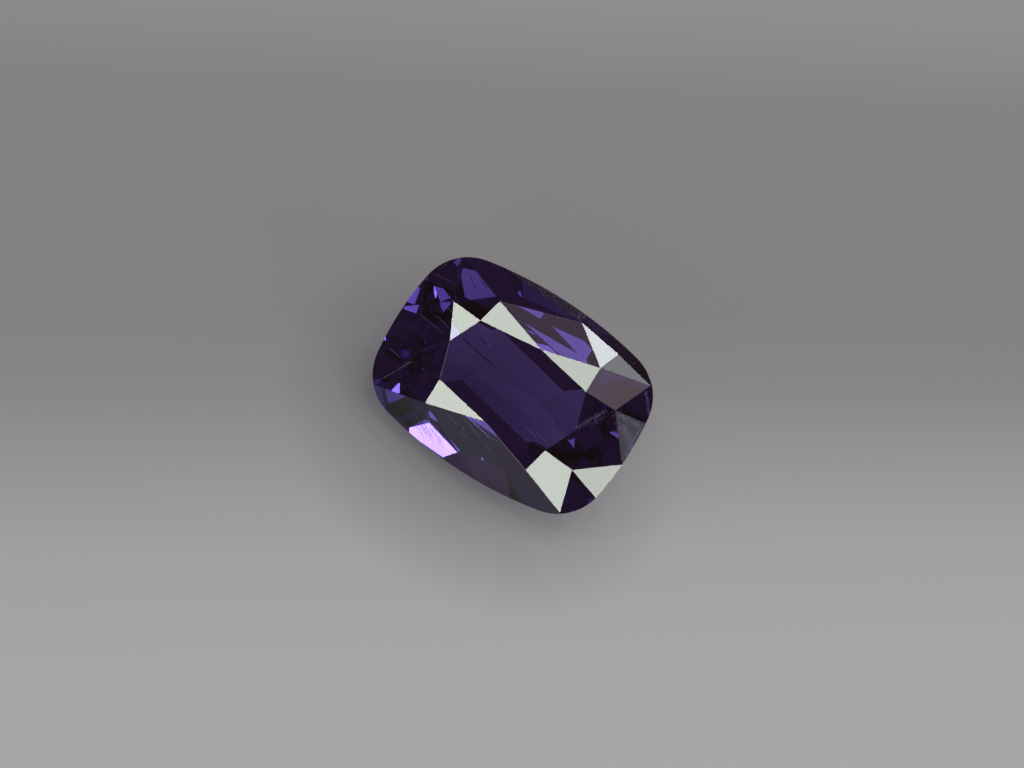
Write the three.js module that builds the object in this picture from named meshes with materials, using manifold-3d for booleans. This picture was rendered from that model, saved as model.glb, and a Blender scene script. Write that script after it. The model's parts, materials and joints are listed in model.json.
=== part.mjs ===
import * as THREE from "three";
import { mergeVertices } from "three/addons/utils/BufferGeometryUtils.js";
import Module from "manifold-3d";

// A cushion-cut sapphire, 14 x 10.4 mm, cut as one piece and lying on a facet of its pavilion.
// All lengths are millimetres and all angles are degrees. The stone is drawn with its table up,
// its long axis along X and z = 0 at the upper edge of the girdle, and is then laid down.

// Outline seen from above: two bowed long sides, two bowed ends and four round corners.
const LENGTH = 14;
const WIDTH = 10.4;
const CORNER_RADIUS = 2.8;
const CORNER_CENTRE = [4.06, 1.98];
const ARC_STEPS = 6;

// Heights and depths, measured from the upper edge of the girdle.
const CROWN_HEIGHT = 1.5;
const GIRDLE_HEIGHT = 0.55;
const KEEL_DEPTH = 5.4;

// Crown meets seen from above. Each list holds one half of the ring, counted from the right end
// by way of the +Y side; half a turn about the axis gives the other half.
const TABLE_CORNERS = [[3.97, -0.17], [3.34, 1.78], [0.21, 2.34], [-3.22, 1.9]];
const STAR_TIPS = [[5.13, 1.8], [3.3, 3.22], [-2.93, 3.29], [-4.93, 1.99]];
const STAR_TIP_HEIGHTS = [0.99, 1.04, 1.04, 0.99];
const KITE_TIPS = [[6.99, -0.36], [6, 3.88], [-1.2, 5.15], [-5.65, 4.21]];
const GIRDLE_MEETS = [[6.85, 2.1], [3.7, 4.85], [-3.6, 4.88], [-6.77, 2.55]];
const GIRDLE_MEET_HEIGHT = -0.08;

// On the +Y side the girdle was left broad. The crown stops short of the outline between these
// points, and the girdle flares out from them.
const BROAD_KITE_TIP = [1.22, 4.69];
const BROAD_GIRDLE_MEET = [3.72, 4.34];
const BROAD_MEET_HEIGHT = 0.2;
const FLARE_SLOPE = 54;

// The pavilion's facets stand in three tiers. Each list holds one half of a tier, anticlockwise
// from the right end, and half a turn gives the other half.
// Upper tier: each facet touches the outline at the girdle's lower edge.
const UPPER_FACETS = [
  { azimuth: -4, slope: 50.5 },
  { azimuth: 19, slope: 54.5 },
  { azimuth: 64, slope: 57.5 },
  { azimuth: 82, slope: 51 },
  { azimuth: 92, slope: 53 },
  { azimuth: 131, slope: 52 },
  { azimuth: 155, slope: 48 },
];

// Middle tier: each facet passes the given distance out from the axis at this depth. The stone
// lies on the long one that faces -Y, which is the third one turned by half a turn.
const MIDDLE_DEPTH = 2.65;
const MIDDLE_FACETS = [
  { azimuth: 27, slope: 49.5, out: 5.5 },
  { azimuth: 49, slope: 50, out: 5.2 },
  { azimuth: 86, slope: 42, out: 3.65 },
  { azimuth: 114, slope: 46.5, out: 4.3 },
  { azimuth: 166, slope: 50, out: 5.5 },
];
const RESTING_FACET = MIDDLE_FACETS.length + 2;

// Lowest tier: the facets meet in a short keel along X.
const KEEL_HALF_LENGTH = 1.7;
const KEEL_FACETS = [
  { azimuth: 90, slope: 30 },
  { azimuth: 20, slope: 33 },
  { azimuth: -45, slope: 29.5 },
];

const sapphireMaterial = new THREE.MeshStandardMaterial({
  color: 0x3a2768,
  roughness: 0.05,
  metalness: 0,
});

const wasm = await Module();
wasm.setup();

const withHalfTurn = (half) => [...half, ...half.map(([x, y]) => [-x, -y])];
const bothHalves = (tier) => [
  ...tier,
  ...tier.map((facet) => ({ ...facet, azimuth: facet.azimuth + 180 })),
];
const at = ([x, y], z) => new THREE.Vector3(x, y, z);

// The radius of a bow that reaches out to the given distance and runs on into the round corner.
function bowRadius(reach, across, along) {
  const beyond = reach - along;
  return (across ** 2 + beyond ** 2 - CORNER_RADIUS ** 2) / (2 * (beyond - CORNER_RADIUS));
}

function outline() {
  const [x, y] = CORNER_CENTRE;
  const sideRadius = bowRadius(WIDTH / 2, x, y);
  const endRadius = bowRadius(LENGTH / 2, y, x);
  const sideY = WIDTH / 2 - sideRadius;
  const endX = LENGTH / 2 - endRadius;
  const endTurn = Math.atan2(y, x - endX);
  const sideTurn = Math.atan2(x, y - sideY);
  const quarter = Math.PI / 2;
  const shape = new THREE.Shape();
  shape.absarc(endX, 0, endRadius, -endTurn, endTurn);
  shape.absarc(x, y, CORNER_RADIUS, endTurn, quarter - sideTurn);
  shape.absarc(0, sideY, sideRadius, quarter - sideTurn, quarter + sideTurn);
  shape.absarc(-x, y, CORNER_RADIUS, quarter + sideTurn, 2 * quarter - endTurn);
  shape.absarc(-endX, 0, endRadius, 2 * quarter - endTurn, 2 * quarter + endTurn);
  shape.absarc(-x, -y, CORNER_RADIUS, 2 * quarter + endTurn, 3 * quarter - sideTurn);
  shape.absarc(0, -sideY, sideRadius, 3 * quarter - sideTurn, 3 * quarter + sideTurn);
  shape.absarc(x, -y, CORNER_RADIUS, 3 * quarter + sideTurn, 4 * quarter - endTurn);
  return shape;
}

// The rough stone: the outline at full height, before any facet is cut.
function roughGeometry(shape) {
  const geometry = new THREE.ExtrudeGeometry(shape, {
    depth: CROWN_HEIGHT + KEEL_DEPTH,
    bevelEnabled: false,
    curveSegments: ARC_STEPS,
  });
  geometry.translate(0, 0, -KEEL_DEPTH);
  geometry.deleteAttribute("normal");
  geometry.deleteAttribute("uv");
  return mergeVertices(geometry, 1e-4);
}

function solidOf(geometry) {
  return new wasm.Manifold(
    new wasm.Mesh({
      numProp: 3,
      vertProperties: new Float32Array(geometry.attributes.position.array),
      triVerts: new Uint32Array(geometry.index.array),
    }),
  );
}

function geometryOf(solid) {
  const mesh = solid.getMesh();
  const geometry = new THREE.BufferGeometry();
  geometry.setAttribute("position", new THREE.BufferAttribute(mesh.vertProperties, 3));
  geometry.setIndex(new THREE.BufferAttribute(mesh.triVerts, 1));
  const flat = geometry.toNonIndexed();
  flat.computeVertexNormals();
  return flat;
}

// A facet is a plane whose normal points out of the stone.
function facetThrough(a, b, c) {
  const facet = new THREE.Plane().setFromCoplanarPoints(a, b, c);
  return facet.constant > 0 ? facet.negate() : facet;
}

function facetFacing(azimuth, slope, point) {
  const turn = THREE.MathUtils.degToRad(azimuth);
  const lean = THREE.MathUtils.degToRad(slope);
  const normal = new THREE.Vector3(
    Math.sin(lean) * Math.cos(turn),
    Math.sin(lean) * Math.sin(turn),
    -Math.cos(lean),
  );
  return new THREE.Plane().setFromNormalAndCoplanarPoint(normal, point);
}

function outFromAxis(azimuth, distance, z) {
  const turn = THREE.MathUtils.degToRad(azimuth);
  return new THREE.Vector3(distance * Math.cos(turn), distance * Math.sin(turn), z);
}

const onFacet = (facet, [x, y]) =>
  at([x, y], -(facet.constant + facet.normal.x * x + facet.normal.y * y) / facet.normal.z);

// Table, eight stars, eight kites, and a pair of girdle facets beside each star tip.
function crownFacets() {
  const corners = withHalfTurn(TABLE_CORNERS).map((p) => at(p, CROWN_HEIGHT));
  const tips = withHalfTurn(STAR_TIPS).map((p, i) => at(p, STAR_TIP_HEIGHTS[i % 4]));
  const count = corners.length;
  const previous = (i) => (i + count - 1) % count;
  const next = (i) => (i + 1) % count;
  const kites = corners.map((corner, i) => facetThrough(corner, tips[previous(i)], tips[i]));

  const kiteTips = withHalfTurn(KITE_TIPS).map((p, i) => onFacet(kites[i], p));
  const meets = withHalfTurn(GIRDLE_MEETS).map((p) => at(p, GIRDLE_MEET_HEIGHT));
  kiteTips[2] = onFacet(kites[2], BROAD_KITE_TIP);
  meets[1] = at(BROAD_GIRDLE_MEET, BROAD_MEET_HEIGHT);

  const facets = [facetThrough(corners[0], corners[2], corners[4]), ...kites];
  for (let i = 0; i < count; i += 1) {
    facets.push(facetThrough(corners[i], corners[next(i)], tips[i]));
    facets.push(facetThrough(tips[i], kiteTips[i], meets[i]));
    facets.push(facetThrough(tips[i], meets[i], kiteTips[next(i)]));
  }
  return { facets, broadEdge: [kiteTips[1], meets[1], kiteTips[2], meets[2]] };
}

// The broad girdle: a steep facet under each stretch of the crown's edge.
function flareFacets(edge) {
  const drop = Math.tan(THREE.MathUtils.degToRad(FLARE_SLOPE));
  return edge.slice(1).map((end, i) => {
    const start = edge[i];
    const along = end.clone().sub(start);
    const outward = new THREE.Vector3(along.y, -along.x, 0).normalize();
    const below = start.clone().add(outward).setZ(start.z - drop);
    return facetThrough(start, end, below);
  });
}

// How far the outline reaches in a direction seen from above.
function outlineReach(points, azimuth) {
  const turn = THREE.MathUtils.degToRad(azimuth);
  return Math.max(...points.map((p) => p.x * Math.cos(turn) + p.y * Math.sin(turn)));
}

function upperFacets(points) {
  return bothHalves(UPPER_FACETS).map(({ azimuth, slope }) => {
    const reach = outlineReach(points, azimuth);
    return facetFacing(azimuth, slope, outFromAxis(azimuth, reach, -GIRDLE_HEIGHT));
  });
}

function middleFacets() {
  return bothHalves(MIDDLE_FACETS).map(({ azimuth, slope, out }) =>
    facetFacing(azimuth, slope, outFromAxis(azimuth, out, -MIDDLE_DEPTH)),
  );
}

// The facets of one half meet at the keel's right end, and those of the other at its left end.
function keelFacets() {
  return bothHalves(KEEL_FACETS).map(({ azimuth, slope }, i) => {
    const end = i < KEEL_FACETS.length ? KEEL_HALF_LENGTH : -KEEL_HALF_LENGTH;
    return facetFacing(azimuth, slope, at([end, 0], -KEEL_DEPTH));
  });
}

function cutStone(middle) {
  const shape = outline();
  const upper = upperFacets(shape.getPoints(ARC_STEPS));
  const { facets: crown, broadEdge } = crownFacets();
  const facets = [...crown, ...flareFacets(broadEdge), ...upper, ...middle, ...keelFacets()];
  const cut = (solid, { normal, constant }) =>
    solid.trimByPlane([-normal.x, -normal.y, -normal.z], constant);
  return facets.reduce(cut, solidOf(roughGeometry(shape)));
}

const middle = middleFacets();
const stone = new THREE.Mesh(geometryOf(cutStone(middle)), sapphireMaterial);
stone.name = "sapphire";

// Laid on the resting facet, with the origin on the surface under the middle of the stone.
const down = new THREE.Vector3(0, 0, -1);
stone.quaternion.setFromUnitVectors(middle[RESTING_FACET].normal, down);
const box = new THREE.Box3().setFromObject(stone, true);
stone.position.set(-(box.min.x + box.max.x) / 2, -(box.min.y + box.max.y) / 2, -box.min.z);

const sapphire = new THREE.Group();
sapphire.add(stone);

export default sapphire;
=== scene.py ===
"""A cushion-cut sapphire lying on a pale surface, seen square to its table under soft cards."""

import json
import math
import random

import bmesh
import bpy
from mathutils import Matrix, Vector, noise
from mathutils.bvhtree import BVHTree


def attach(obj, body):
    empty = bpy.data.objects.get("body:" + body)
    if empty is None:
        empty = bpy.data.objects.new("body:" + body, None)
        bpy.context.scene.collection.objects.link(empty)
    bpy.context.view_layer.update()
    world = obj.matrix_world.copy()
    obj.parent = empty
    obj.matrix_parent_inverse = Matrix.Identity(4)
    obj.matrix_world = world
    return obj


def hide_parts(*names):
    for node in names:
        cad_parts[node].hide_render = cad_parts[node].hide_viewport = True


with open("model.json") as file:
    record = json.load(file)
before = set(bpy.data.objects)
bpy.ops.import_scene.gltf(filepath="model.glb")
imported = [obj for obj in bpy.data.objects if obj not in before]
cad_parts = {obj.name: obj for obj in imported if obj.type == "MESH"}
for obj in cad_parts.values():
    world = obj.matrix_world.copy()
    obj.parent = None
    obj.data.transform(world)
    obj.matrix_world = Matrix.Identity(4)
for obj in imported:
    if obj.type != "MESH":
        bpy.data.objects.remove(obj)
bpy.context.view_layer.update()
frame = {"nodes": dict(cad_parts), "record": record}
scene = bpy.context.scene
random.seed(14)

# Lengths are metres, and angles are degrees.
MM = 0.001
# The stone: the height of its crown, and which way the facet that it rests on faces and slopes.
CROWN_HEIGHT = 1.5 * MM
RESTING_AZIMUTH = 266
RESTING_SLOPE = 42

# The view: the image and the stone's centre in pixels, the scale, and how far the long axis dips.
IMAGE_WIDTH = 1024
IMAGE_HEIGHT = 768
IMAGE_CENTRE = (IMAGE_WIDTH / 2, IMAGE_HEIGHT / 2)
STONE_CENTRE = (512.8, 385.5)
LONG_AXIS_DIP = 33
PIXEL = 0.0519 * MM
CLIP_START = 5 * MM
# The lens and the sensor are in millimetres.
LENS = 120
SENSOR = 36

# Sapphire: its refractive index, the violet-blue of its two growth zones, between which values of
# the noise one turns into the other, how large the zones are, and how the stone darkens with depth.
REFRACTIVE_INDEX = 1.77
ZONE_COLOURS = ((0.38, 0.27, 0.84), (0.54, 0.38, 1.0))
ZONE_VALUES = (0.35, 0.65)
ZONE_SIZE = 3 * MM
ZONE_STRETCH = (0.4, 1, 2.2)
ABSORPTION_COLOUR = (0.48, 0.43, 0.67)
ABSORPTION_DENSITY = 220

# The stone's finishes, in the order of their slots on its mesh: the name, the size and the detail
# of the noise that the wear follows, and the roughness without wear and with it. One turns into
# the other between the WEAR_VALUES of the noise.
FACET, GIRDLE, EDGE = range(3)
FINISHES = [
    ("polished_sapphire", (0.5 * MM, 4), (0.0, 0.015)),
    ("ground_girdle", (0.2 * MM, 2), (0.18, 0.42)),
    ("worn_edges", (0.6 * MM, 3), (0.12, 0.45)),
]
WEAR_VALUES = (0.45, 0.75)

# Cutting: faces that differ by less than SAME_FACET are one facet, and edges that turn by more
# than SHARP_EDGE are softened by FACET_EDGE. A face is part of the girdle if the share of its
# normal that points out of the table lies within GIRDLE_LEAN.
SAME_POINT = 0.001 * MM
SAME_FACET = 0.4
SHARP_EDGE = 2
FACET_EDGE = 0.022 * MM
GIRDLE_LEAN = (-0.2, 0.7)

# Grinding: the size of the grains, how deep the ground surface and its chips go, and how many
# bumps and chips there are to a millimetre. Coarse bumps have COARSE_SHARE of the fine ones'
# depth, BUMP_SWING is half of the noise's swing, and chips begin where their noise is CHIP_ONSET.
GIRDLE_GRAIN = 0.075 * MM
GRIND_ROUNDS = 5
GIRDLE_RELIEF = 0.016 * MM
FINE_BUMPS = 9
COARSE_BUMPS = 3.1
COARSE_SHARE = 0.6
BUMP_SWING = 1.1
CHIP_DEPTH = 0.05 * MM
CHIPS = 2.3
CHIP_ONSET = 0.35

# The surroundings: a dim warm room, and a pale sheet with a painted glow that is brighter towards the
# viewer and a painted shadow under the stone.
ROOM_COLOUR = (0.090, 0.052, 0.064)
FLOOR_COLOUR = (0.53, 0.60, 0.60)
FLOOR_ROUGHNESS = 0.9
FLOOR_SPECULAR = 0.1
FLOOR_SIZE = 3.0
# The painted glow of the sheet, which stands in for light and grows towards the viewer: its strength by
# the share of the way from the far side of the view to the near one.
PAINTED_FLOOR_GLOW = [
    (0, 0.17), (0.14, 0.125), (0.45, 0.12), (0.55, 0.14),
    (0.65, 0.20), (0.74, 0.25), (0.86, 0.275), (1, 0.285),
]
# A painted shadow of the stone on the sheet: the share of the painted glow that is left, by the
# distance from the origin.
PAINTED_STONE_SHADOW = [(0, 0.45), (5 * MM, 0.5), (11 * MM, 1)]
# A film of air stays between the resting facet and the sheet, so light is mirrored there as well.
AIR_UNDER_STONE = 0.01 * MM
CARD_DISTANCE = 0.25
CARD_WHITE = (0.92, 1.0, 0.88)
CARD_COOL = (0.94, 1.0, 0.99)
CARD_ROSE = (1.0, 0.80, 0.92)


def along(azimuth, slope):
    """The direction that faces azimuth and leans slope from straight down."""
    turn, lean = math.radians(azimuth), math.radians(slope)
    return Vector((math.sin(lean) * math.cos(turn), math.sin(lean) * math.sin(turn), -math.cos(lean)))


def stone_frame():
    """The stone's own frame: X along it, Z out of its table, z = 0 at the girdle's upper edge."""
    table = next(m for m in frame["record"]["mounts"] if m["name"] == "table")
    turn = along(RESTING_AZIMUTH, RESTING_SLOPE).rotation_difference(Vector((0, 0, -1)))
    origin = Vector(table["pos_m"]) - turn @ Vector((0, 0, CROWN_HEIGHT))
    return Matrix.Translation(origin) @ turn.to_matrix().to_4x4()


STONE = stone_frame()
TO_STONE = STONE.inverted()
DIP = math.radians(LONG_AXIS_DIP)
OUT_OF_TABLE = STONE.to_3x3() @ Vector((0, 0, 1))
VIEW_RIGHT = STONE.to_3x3() @ Vector((math.cos(DIP), math.sin(DIP), 0))
VIEW_UP = STONE.to_3x3() @ Vector((-math.sin(DIP), math.cos(DIP), 0))


def seen_at(pixel):
    """The point of the girdle plane that shows at a pixel."""
    right = (pixel[0] - STONE_CENTRE[0]) * PIXEL
    up = (STONE_CENTRE[1] - pixel[1]) * PIXEL
    return STONE.translation + VIEW_RIGHT * right + VIEW_UP * up


def make_camera():
    data = bpy.data.cameras.new("camera")
    data.lens = LENS
    data.sensor_width = SENSOR
    data.clip_start = CLIP_START
    made = bpy.data.objects.new("camera", data)
    scene.collection.objects.link(made)
    distance = IMAGE_WIDTH * PIXEL * LENS / SENSOR
    turn = Matrix((VIEW_RIGHT, VIEW_UP, OUT_OF_TABLE)).transposed().to_4x4()
    made.matrix_world = Matrix.Translation(seen_at(IMAGE_CENTRE) + OUT_OF_TABLE * distance) @ turn
    scene.camera = made
    return made


def facet_tree():
    solid = frame["nodes"]["sapphire"].data
    return BVHTree.FromPolygons([v.co for v in solid.vertices], [p.vertices for p in solid.polygons])


camera = make_camera()
facets = facet_tree()


def line_of_sight(pixel):
    return (seen_at(pixel) - camera.location).normalized()


def floor_at(pixel):
    """The point of the floor that shows at a pixel."""
    ray = line_of_sight(pixel)
    return camera.location - ray * (camera.location.z / ray.z)


def shows_stone(pixel):
    return facets.ray_cast(camera.location, line_of_sight(pixel))[0] is not None


def facet_under(pixel):
    """Where the line of sight through a pixel meets the stone, its direction and the facet's normal."""
    ray = line_of_sight(pixel)
    place, normal, _, _ = facets.ray_cast(camera.location, ray)
    assert place, f"no facet under {pixel}"
    return place, ray, normal


def inside(pixel, depth):
    """The point inside the stone that shows at a pixel, at a depth along the bent line of sight."""
    place, ray, normal = facet_under(pixel)
    cos_in = -ray.dot(normal)
    cos_out = math.sqrt(1 - (1 - cos_in**2) / REFRACTIVE_INDEX**2)
    bent = ray / REFRACTIVE_INDEX + normal * (cos_in / REFRACTIVE_INDEX - cos_out)
    return place + bent * depth


# Materials


def new_material(name):
    material = bpy.data.materials.new(name)
    material.use_nodes = True
    tree = material.node_tree
    tree.nodes.clear()
    output = tree.nodes.new("ShaderNodeOutputMaterial")
    shader = tree.nodes.new("ShaderNodeBsdfPrincipled")
    tree.links.new(shader.outputs["BSDF"], output.inputs["Surface"])
    return material, tree, shader, output


def noise_over(tree, size, detail=3, stretch=(1, 1, 1)):
    """Noise that repeats about every size, in the object's own coordinates."""
    place = tree.nodes.new("ShaderNodeTexCoord")
    scale = tree.nodes.new("ShaderNodeMapping")
    scale.inputs["Scale"].default_value = [s / size for s in stretch]
    texture = tree.nodes.new("ShaderNodeTexNoise")
    texture.inputs["Scale"].default_value = 1
    texture.inputs["Detail"].default_value = detail
    tree.links.new(place.outputs["Object"], scale.inputs["Vector"])
    tree.links.new(scale.outputs["Vector"], texture.inputs["Vector"])
    return texture.outputs["Fac"]


def ramp(tree, value, stops, socket):
    """Colours or greys along a value, into a shader's socket."""
    node = tree.nodes.new("ShaderNodeValToRGB")
    node.color_ramp.elements.remove(node.color_ramp.elements[1])
    for i, (at, colour) in enumerate(stops):
        stop = node.color_ramp.elements[0] if i == 0 else node.color_ramp.elements.new(at)
        stop.position = at
        stop.color = (*colour, 1)
    tree.links.new(value, node.inputs["Fac"])
    tree.links.new(node.outputs["Color"], socket)


def greys(stops):
    return [(at, (value, value, value)) for at, value in stops]


def crystal(name, wear_noise, roughness):
    """Clear sapphire whose surface roughness wanders between two values."""
    material, tree, shader, output = new_material(name)
    shader.inputs["IOR"].default_value = REFRACTIVE_INDEX
    shader.inputs["Transmission Weight"].default_value = 1
    zones = noise_over(tree, ZONE_SIZE, 1, ZONE_STRETCH)
    ramp(tree, zones, zip(ZONE_VALUES, ZONE_COLOURS), shader.inputs["Base Color"])
    wear = noise_over(tree, *wear_noise)
    ramp(tree, wear, greys(zip(WEAR_VALUES, roughness)), shader.inputs["Roughness"])
    volume = tree.nodes.new("ShaderNodeVolumeAbsorption")
    volume.inputs["Color"].default_value = (*ABSORPTION_COLOUR, 1)
    volume.inputs["Density"].default_value = ABSORPTION_DENSITY
    tree.links.new(volume.outputs["Volume"], output.inputs["Volume"])
    return material


# Opaque finishes: their light and dark colours, the roughness, the size of the speckles and the
# strength of their painted glow, which stands in for light that reaches them. Dark turns into light
# between the SPECKLE_VALUES.
SPECKLED = {
    "needle_silk": ((0.85, 0.82, 0.9), (0.6, 0.55, 0.7), 0.3, 0.1 * MM, 0.08),
    "needle_dark": ((0.03, 0.02, 0.06), (0.01, 0.008, 0.02), 0.5, 0.1 * MM, 0),
    "fracture_fluid": ((0.8, 0.8, 0.88), (0.6, 0.58, 0.7), 0.4, 0.05 * MM, 0.14),
    "dust_grains": ((0.9, 0.9, 0.9), (0.7, 0.7, 0.72), 0.8, 0.02 * MM, 0),
    # Pale with a painted glow: the threads that paint highlight lines along the crown's edges.
    "painted_highlight_lines": ((0.8, 0.78, 0.86), (0.5, 0.46, 0.6), 0.5, 0.2 * MM, 0.1),
}
SPECKLE_VALUES = (0.4, 0.6)
PAINTED_GLOW_COLOUR = (0.9, 0.86, 1)


def speckled(name):
    """An opaque finish that wanders between two colours and has a painted glow of its own, though it is
    no lamp.
    """
    light, dark, roughness, size, painted_glow = SPECKLED[name]
    material, tree, shader, _ = new_material(name)
    shader.inputs["Roughness"].default_value = roughness
    # A painted glow: the finish gives off light though it is no lamp.
    shader.inputs["Emission Color"].default_value = (*PAINTED_GLOW_COLOUR, 1)
    shader.inputs["Emission Strength"].default_value = painted_glow
    ramp(tree, noise_over(tree, size), zip(SPECKLE_VALUES, (dark, light)), shader.inputs["Base Color"])
    return material


# The cut stone


def is_girdle(face):
    lean = (TO_STONE.to_3x3() @ face.normal).z
    return GIRDLE_LEAN[0] < lean < GIRDLE_LEAN[1]


def whole_facets(mesh):
    """A mesh of the solid in which each facet is one face."""
    shape = bmesh.new()
    shape.from_mesh(mesh)
    bmesh.ops.remove_doubles(shape, verts=shape.verts, dist=SAME_POINT)
    bmesh.ops.dissolve_limit(
        shape, angle_limit=math.radians(SAME_FACET), verts=shape.verts, edges=shape.edges
    )
    shape.normal_update()
    for face in shape.faces:
        face.material_index = GIRDLE if is_girdle(face) else FACET
        face.smooth = False
    return shape


def girdle_faces(shape):
    return [f for f in shape.faces if f.material_index == GIRDLE]


def soften_edges(shape):
    """Rounds every edge between facets a little."""
    girdle = set(girdle_faces(shape))
    sharp = [
        e for e in shape.edges
        if e.calc_face_angle() > math.radians(SHARP_EDGE) and not girdle.issuperset(e.link_faces)
    ]
    made = bmesh.ops.bevel(
        shape,
        geom=sharp,
        offset=FACET_EDGE,
        offset_type="OFFSET",
        segments=2,
        profile=0.5,
        affect="EDGES",
        clamp_overlap=True,
        material=EDGE,
    )
    for face in made["faces"]:
        face.smooth = True


def ground_away(place):
    """How deep the girdle is ground away at a place, which is given in millimetres."""
    fine = noise.noise(place * FINE_BUMPS)
    coarse = noise.noise(place * COARSE_BUMPS + Vector((5, 1, 2)))
    chip = max(0, noise.noise(place * CHIPS + Vector((1, 7, 3))) - CHIP_ONSET)
    relief = (BUMP_SWING + fine + COARSE_SHARE * coarse) / (2 * BUMP_SWING)
    return GIRDLE_RELIEF * relief + CHIP_DEPTH * chip


def grind_girdle(shape):
    """Breaks the girdle into fine grains and gives it a ground surface with small chips."""
    bmesh.ops.triangulate(shape, faces=girdle_faces(shape))
    for _ in range(GRIND_ROUNDS):
        edges = {e for f in girdle_faces(shape) for e in f.edges if e.calc_length() > GIRDLE_GRAIN}
        bmesh.ops.subdivide_edges(shape, edges=list(edges), cuts=1)
        bmesh.ops.triangulate(shape, faces=[f for f in girdle_faces(shape) if len(f.verts) > 3])
    shape.normal_update()
    for vertex in shape.verts:
        if all(f.material_index == GIRDLE for f in vertex.link_faces):
            vertex.co -= vertex.normal * ground_away(vertex.co / MM)


def cut_stone():
    """The stone of the frame with whole facets, softened edges and a ground girdle."""
    shape = whole_facets(frame["nodes"]["sapphire"].data)
    soften_edges(shape)
    grind_girdle(shape)
    mesh = bpy.data.meshes.new("cut_sapphire")
    shape.to_mesh(mesh)
    shape.free()
    for finish in FINISHES:
        mesh.materials.append(crystal(*finish))
    piece = bpy.data.objects.new("cut_sapphire", mesh)
    scene.collection.objects.link(piece)
    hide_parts("sapphire")
    belongs(piece)


def belongs(piece):
    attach(piece, "root")


# What lies inside the stone and on it


class Grains:
    """One mesh that many small closed shapes are added to."""

    # The share of a needle that each pointed end takes, and how unevenly a flake's rim is broken.
    POINT = 0.12
    RIM = (0.6, 1.2)

    def __init__(self):
        self.points = []
        self.faces = []

    def add(self, points, faces):
        first = len(self.points)
        self.points += points
        self.faces += [[first + i for i in face] for face in faces]

    def spindle(self, start, end, radius, sides=4):
        """A needle with pointed ends."""
        axis = (end - start).normalized()
        across = axis.orthogonal().normalized()
        rings = []
        for at in (self.POINT, 1 - self.POINT):
            middle = start.lerp(end, at)
            for i in range(sides):
                turn = Matrix.Rotation(math.tau * i / sides, 3, axis)
                rings.append(middle + turn @ across * radius)
        points = [start, *rings, end]
        faces = []
        for i in range(sides):
            j = (i + 1) % sides
            faces += [(0, 1 + j, 1 + i), (1 + i, 1 + j, 1 + sides + j, 1 + sides + i)]
            faces += [(2 * sides + 1, 1 + sides + i, 1 + sides + j)]
        self.add(points, faces)

    def platelet(self, centre, facing, radius, thickness, sides=6):
        """A thin flake with an uneven rim."""
        normal = facing.normalized()
        across = normal.orthogonal().normalized()
        start = random.uniform(0, math.tau)
        rim = []
        for i in range(sides):
            turn = Matrix.Rotation(start + math.tau * i / sides, 3, normal)
            rim.append(centre + turn @ across * radius * random.uniform(*self.RIM))
        points = [centre + normal * thickness / 2, *rim, centre - normal * thickness / 2]
        faces = []
        for i in range(sides):
            j = (i + 1) % sides
            faces += [(0, 1 + i, 1 + j), (sides + 1, 1 + j, 1 + i)]
        self.add(points, faces)

    def piece(self, name, material):
        mesh = bpy.data.meshes.new(name)
        mesh.from_pydata(self.points, [], self.faces)
        mesh.materials.append(material)
        made = bpy.data.objects.new(name, mesh)
        scene.collection.objects.link(made)
        belongs(made)


# Needles by the pixels that they run between, the depths of their two ends and their radius, the
# last three in millimetres.
PALE_NEEDLES = [
    ((447, 413), (457, 425), 0.4, 0.5, 0.010),
    ((461, 415), (483, 441), 0.4, 0.9, 0.010),
    ((484, 443), (492, 453), 0.9, 1.0, 0.008),
    ((460, 430), (480, 455), 0.6, 0.9, 0.007),
    ((485, 436), (500, 442), 0.3, 0.4, 0.012),
    ((535, 430), (548, 445), 0.5, 0.6, 0.009),
    ((523, 425), (540, 440), 0.6, 0.8, 0.010),
    ((441, 300), (452, 312), 0.2, 0.3, 0.013),
    ((418, 312), (445, 335), 0.3, 0.7, 0.010),
    ((436, 315), (450, 329), 0.3, 0.5, 0.010),
    ((389, 348), (401, 358), 0.2, 0.3, 0.010),
    ((433, 273), (456, 284), 0.3, 0.5, 0.008),
    ((440, 268), (448, 263), 0.15, 0.2, 0.014),
    ((426, 412), (430, 421), 0.3, 0.35, 0.020),
    ((500, 302), (537, 312), 0.4, 0.5, 0.006),
    ((515, 306), (545, 318), 0.5, 0.6, 0.006),
]
DARK_NEEDLES = [
    ((460, 336), (494, 366), 1.2, 1.9, 0.026),
    ((479, 337), (487, 345), 1.2, 1.4, 0.020),
    ((470, 277), (477, 290), 0.5, 0.7, 0.018),
    ((480, 278), (488, 290), 0.5, 0.7, 0.018),
]


# A bundle of parallel needles at the lower left. It starts at a pixel, and its steps from one
# needle to the next and its lengths are pixels. Its depths, its dive and its radius are millimetres.
BUNDLE_START = (413, 413)
BUNDLE_COUNT = 11
BUNDLE_STEP = 2.1
BUNDLE_STEP_ERROR = (-0.7, 0.7)
BUNDLE_SLANT = 0.35
BUNDLE_SLANT_ERROR = (-2, 9)
BUNDLE_LENGTHS = (14, 24)
BUNDLE_LEAN = 0.6
BUNDLE_DEPTHS = (0.1, 0.5)
BUNDLE_DIVE = 0.15
BUNDLE_RADIUS = 0.009


def needle_bundle():
    """The needles of the bundle, in the form of the lists above."""
    x, y = BUNDLE_START
    for i in range(BUNDLE_COUNT):
        shift = i * BUNDLE_STEP + random.uniform(*BUNDLE_STEP_ERROR)
        a = (x + shift, y + random.uniform(*BUNDLE_SLANT_ERROR) + BUNDLE_SLANT * shift)
        reach = random.uniform(*BUNDLE_LENGTHS)
        b = (a[0] + reach * BUNDLE_LEAN, a[1] + reach)
        depth = random.uniform(*BUNDLE_DEPTHS)
        yield a, b, depth, depth + BUNDLE_DIVE, BUNDLE_RADIUS


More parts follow.
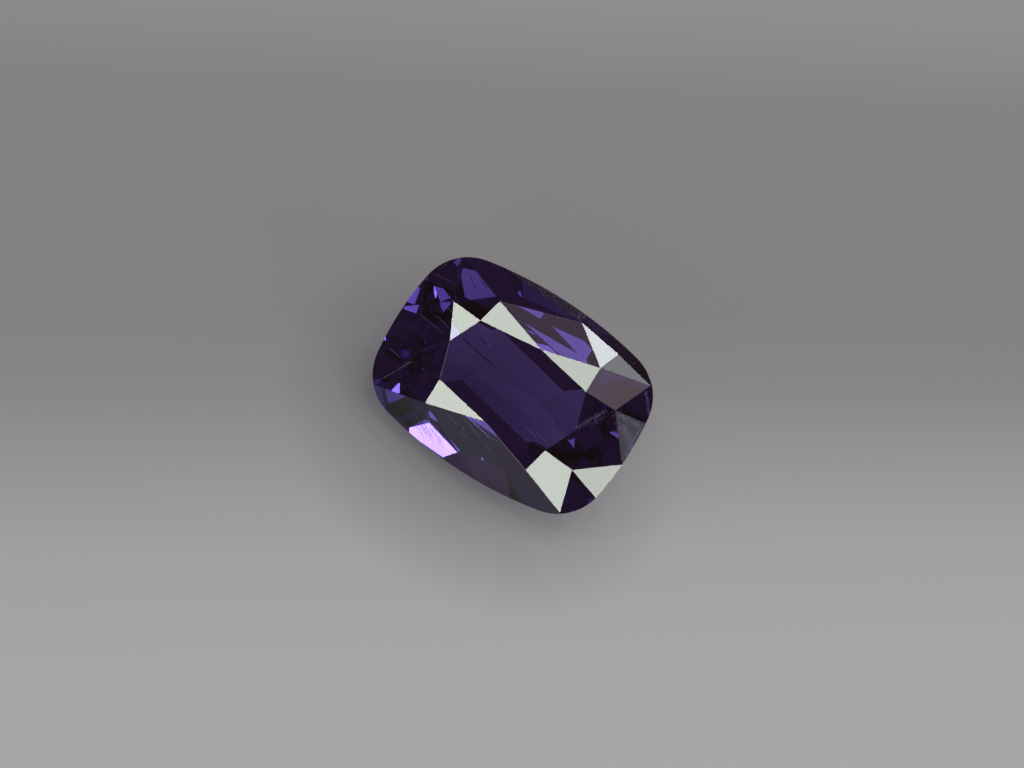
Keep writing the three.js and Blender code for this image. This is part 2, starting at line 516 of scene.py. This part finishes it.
def make_needles(name, needles, finish):
    grown = Grains()
    for a, b, start, end, radius in needles:
        grown.spindle(inside(a, start * MM), inside(b, end * MM), radius * MM)
    grown.piece(name, speckled(finish))


# Clouds by their pixels: where from, where to and how wide. Then how many grains they have, and
# in millimetres how deep these lie and how large they are.
CLOUDS = [
    ((576, 428), (606, 410), 2.5, 260, (0.15, 0.4), 0.016),
    ((590, 424), (606, 414), 5.0, 160, (0.15, 0.5), 0.013),
    ((619, 414), (642, 428), 2.5, 220, (0.1, 0.3), 0.017),
    ((622, 425), (634, 450), 5.5, 420, (0.15, 0.6), 0.017),
    ((640, 428), (626, 456), 2.5, 200, (0.05, 0.3), 0.018),
    ((646, 392), (649, 414), 1.5, 120, (0.05, 0.2), 0.018),
    ((613, 412), (617, 440), 2.2, 90, (0.2, 0.5), 0.013),
]
PINPOINTS = [
    ((538, 398), (562, 438), 10.0, 130, (0.4, 3.0), 0.009),
    ((552, 405), (556, 440), 6.0, 60, (0.4, 2.0), 0.012),
    ((405, 350), (430, 375), 8.0, 24, (0.1, 0.5), 0.010),
    ((420, 300), (455, 330), 9.0, 26, (0.1, 0.6), 0.011),
    ((520, 300), (575, 340), 9.0, 40, (0.1, 0.8), 0.008),
    ((430, 420), (500, 450), 9.0, 30, (0.1, 0.8), 0.008),
]
# How far a flake turns away from the table, the range of sizes, and the thickness for the size.
FLAKE_TURN = 0.6
FLAKE_SIZES = (0.5, 1.4)
FLAKE_THICKNESS = 0.25
PINPOINT_SIZES = (0.5, 1.5)
PINPOINT_THICKNESS = 1.6
PINPOINT_SIDES = 4


def near(pixel, spread):
    return (pixel[0] + random.gauss(0, spread), pixel[1] + random.gauss(0, spread))


def strewn(a, b, width, count, depths):
    """Points inside the stone, strewn along the line between two pixels."""
    for _ in range(count):
        share = random.random()
        middle = (a[0] + (b[0] - a[0]) * share, a[1] + (b[1] - a[1]) * share)
        spot = near(middle, width / 2)
        depth = random.uniform(*depths) * MM
        if shows_stone(spot):
            yield inside(spot, depth)


def make_clouds():
    veil = Grains()
    for a, b, width, count, depths, radius in CLOUDS:
        for place in strewn(a, b, width, count, depths):
            facing = OUT_OF_TABLE + FLAKE_TURN * Vector([random.gauss(0, 1) for _ in range(3)])
            size = radius * random.uniform(*FLAKE_SIZES) * MM
            veil.platelet(place, facing, size, size * FLAKE_THICKNESS)
    for a, b, width, count, depths, radius in PINPOINTS:
        for place in strewn(a, b, width, count, depths):
            size = radius * random.uniform(*PINPOINT_SIZES) * MM
            veil.platelet(place, OUT_OF_TABLE, size, size * PINPOINT_THICKNESS, PINPOINT_SIDES)
    veil.piece("healed_fracture", speckled("fracture_fluid"))


# Grains of dust by the pixel that each lies at, and its radius in millimetres.
DUST = [
    ((463.5, 428.7), 0.034),
    ((456.7, 427.2), 0.020),
    ((557.6, 318.0), 0.034),
    ((490.0, 345.0), 0.026),
    ((473.6, 347.2), 0.024),
    ((423.6, 368.7), 0.022),
    ((435.0, 311.0), 0.018),
    ((483.0, 410.2), 0.018),
    ((455.3, 297.0), 0.017),
]
# How high a grain's middle stands over its facet, and its thickness, both for a radius of 1.
DUST_STAND = 0.3
DUST_THICKNESS = 1.1
DUST_SIDES = 7


def make_dust():
    dust = Grains()
    for pixel, millimetres in DUST:
        place, _, normal = facet_under(pixel)
        radius = millimetres * MM
        centre = place + normal * radius * DUST_STAND
        dust.platelet(centre, normal, radius, radius * DUST_THICKNESS, DUST_SIDES)
    dust.piece("dust", speckled("dust_grains"))


# Two painted highlight lines along edges of the crown, pale threads between their ends in the stone's
# own frame, in millimetres.
EDGE_HIGHLIGHT_LINES = [((-0.21, -2.34, 1.5), (2.93, -3.29, 1.04)), ((-3.97, 0.17, 1.5), (-3.34, -1.78, 1.5))]
# A painted highlight line along a facet edge at the left end and its hook, by the pixels that they run
# between.
LEFT_END_HIGHLIGHT_LINES = [((382, 379), (411, 362)), ((404, 363), (413, 361.5))]
HIGHLIGHT_LINE_RADIUS = 0.008 * MM


# Pale threads on the surface that paint bright highlight lines along edges.
def make_painted_highlight_lines():
    wear = Grains()
    for a, b in EDGE_HIGHLIGHT_LINES:
        wear.spindle(STONE @ (Vector(a) * MM), STONE @ (Vector(b) * MM), HIGHLIGHT_LINE_RADIUS)
    for a, b in LEFT_END_HIGHLIGHT_LINES:
        wear.spindle(facet_under(a)[0], facet_under(b)[0], HIGHLIGHT_LINE_RADIUS)
    wear.piece("painted_edge_highlights", speckled("painted_highlight_lines"))


# The studio


def vector_math(tree, operation, vector, other=(0, 0, 0)):
    node = tree.nodes.new("ShaderNodeVectorMath")
    node.operation = operation
    node.inputs[1].default_value = other
    tree.links.new(vector, node.inputs[0])
    return node.outputs


def floor_material():
    """A pale sheet with a painted glow that is weaker on its far side, and a painted shadow under the
    stone.
    """
    material, tree, shader, _ = new_material("pale_floor")
    shader.inputs["Base Color"].default_value = (*FLOOR_COLOUR, 1)
    shader.inputs["Roughness"].default_value = FLOOR_ROUGHNESS
    shader.inputs["Specular IOR Level"].default_value = FLOOR_SPECULAR
    far = floor_at((IMAGE_CENTRE[0], 0))
    reach = floor_at((IMAGE_CENTRE[0], IMAGE_HEIGHT)) - far
    row = floor_at((IMAGE_WIDTH, IMAGE_CENTRE[1])) - floor_at((0, IMAGE_CENTRE[1]))
    nearer = reach - row * (reach.dot(row) / row.length_squared)
    place = tree.nodes.new("ShaderNodeTexCoord").outputs["Object"]
    from_far = vector_math(tree, "SUBTRACT", place, far)["Vector"]
    share = vector_math(tree, "DOT_PRODUCT", from_far, nearer / nearer.dot(reach))["Value"]
    distance = vector_math(tree, "LENGTH", place)["Value"]
    # The painted glow grows towards the viewer, and the painted shadow darkens it near the stone.
    ramp(tree, share, greys(PAINTED_FLOOR_GLOW), shader.inputs["Emission Strength"])
    ramp(tree, distance, greys(PAINTED_STONE_SHADOW), shader.inputs["Emission Color"])
    return material


def make_floor():
    half = FLOOR_SIZE / 2
    mesh = bpy.data.meshes.new("floor")
    corners = [(-half, -half, 0), (half, -half, 0), (half, half, 0), (-half, half, 0)]
    mesh.from_pydata(corners, [], [(0, 1, 2, 3)])
    mesh.materials.append(floor_material())
    floor = bpy.data.objects.new("floor", mesh)
    floor.location.z = -AIR_UNDER_STONE
    scene.collection.objects.link(floor)


# Each card is mirrored in the facet under a pixel: the pixel, the card's width and height, its
# radiance and its tint.
CARDS = {
    "left_star": ((461, 321), 0.020, 0.020, 8.0, CARD_WHITE),
    "upper_left_star": ((507, 324), 0.022, 0.022, 7.6, CARD_WHITE),
    "upper_right_star": ((575, 369), 0.022, 0.022, 7.0, CARD_WHITE),
    "lower_left_star": ((450, 400), 0.020, 0.020, 8.0, CARD_WHITE),
    "bottom_corner": ((550, 477), 0.022, 0.022, 7.6, CARD_WHITE),
    "right_end": ((596, 477), 0.020, 0.020, 6.6, CARD_WHITE),
    "right_shoulder": ((600, 348), 0.020, 0.020, 8.5, CARD_COOL),
    "grey_shoulder": ((622, 369), 0.020, 0.020, 2.2, CARD_COOL),
    "right_corner": ((614, 388), 0.030, 0.030, 0.95, CARD_ROSE),
}

# Weaker cards that light the inside of the stone: the azimuth in the stone's own frame and the
# height above its table's plane, in degrees, and then as for the others.
SOFT_CARDS = {
    "soft_back": (90, 33, 0.100, 0.080, 0.44, CARD_ROSE),
    "back": (96, 26, 0.030, 0.030, 1.4, CARD_WHITE),
    "high_back": (92, 75, 0.035, 0.030, 1.2, CARD_WHITE),
    "high_front": (257, 68, 0.025, 0.025, 1.2, CARD_WHITE),
    "high_near": (277, 68, 0.030, 0.030, 1.9, CARD_WHITE),
    "high_corner": (49, 74, 0.030, 0.030, 1.4, CARD_WHITE),
    "right_high": (12, 28, 0.040, 0.035, 0.7, CARD_WHITE),
    "right": (7, 24, 0.030, 0.030, 0.6, CARD_COOL),
    "right_low": (15, 20, 0.025, 0.025, 1.0, CARD_COOL),
    "low_back": (90, -19, 0.030, 0.030, 0.5, CARD_WHITE),
}


def mirrored_line(pixel):
    """The point of the stone that shows at a pixel, and the direction that is mirrored there."""
    place, ray, normal = facet_under(pixel)
    return place, ray.reflect(normal)


def over_table(azimuth, height):
    """The middle of the stone in the girdle's plane, and a direction from it."""
    turn, lift = math.radians(azimuth), math.radians(height)
    level = math.cos(lift)
    direction = Vector((level * math.cos(turn), level * math.sin(turn), math.sin(lift)))
    return STONE.translation, STONE.to_3x3() @ direction


def make_card(name, place, direction, width, height, radiance, tint):
    data = bpy.data.lights.new(name, "AREA")
    data.shape = "RECTANGLE"
    data.size = width
    data.size_y = height
    data.energy = radiance * math.pi * width * height
    data.color = tint
    card = bpy.data.objects.new(name, data)
    scene.collection.objects.link(card)
    card.location = place + direction * CARD_DISTANCE
    card.rotation_euler = direction.to_track_quat("Z", "Y").to_euler()
    card.visible_camera = False


def make_room():
    room = bpy.data.worlds.new("room")
    scene.world = room
    room.use_nodes = True
    room.node_tree.nodes["Background"].inputs["Color"].default_value = (*ROOM_COLOUR, 1)


make_room()
make_floor()
cut_stone()
make_needles("pale_needles", [*PALE_NEEDLES, *needle_bundle()], "needle_silk")
make_needles("dark_needles", DARK_NEEDLES, "needle_dark")
make_clouds()
make_dust()
make_painted_highlight_lines()
for name, (pixel, *setting) in CARDS.items():
    make_card(name, *mirrored_line(pixel), *setting)
for name, (azimuth, height, *setting) in SOFT_CARDS.items():
    make_card(name, *over_table(azimuth, height), *setting)

scene.view_settings.view_transform = "Standard"
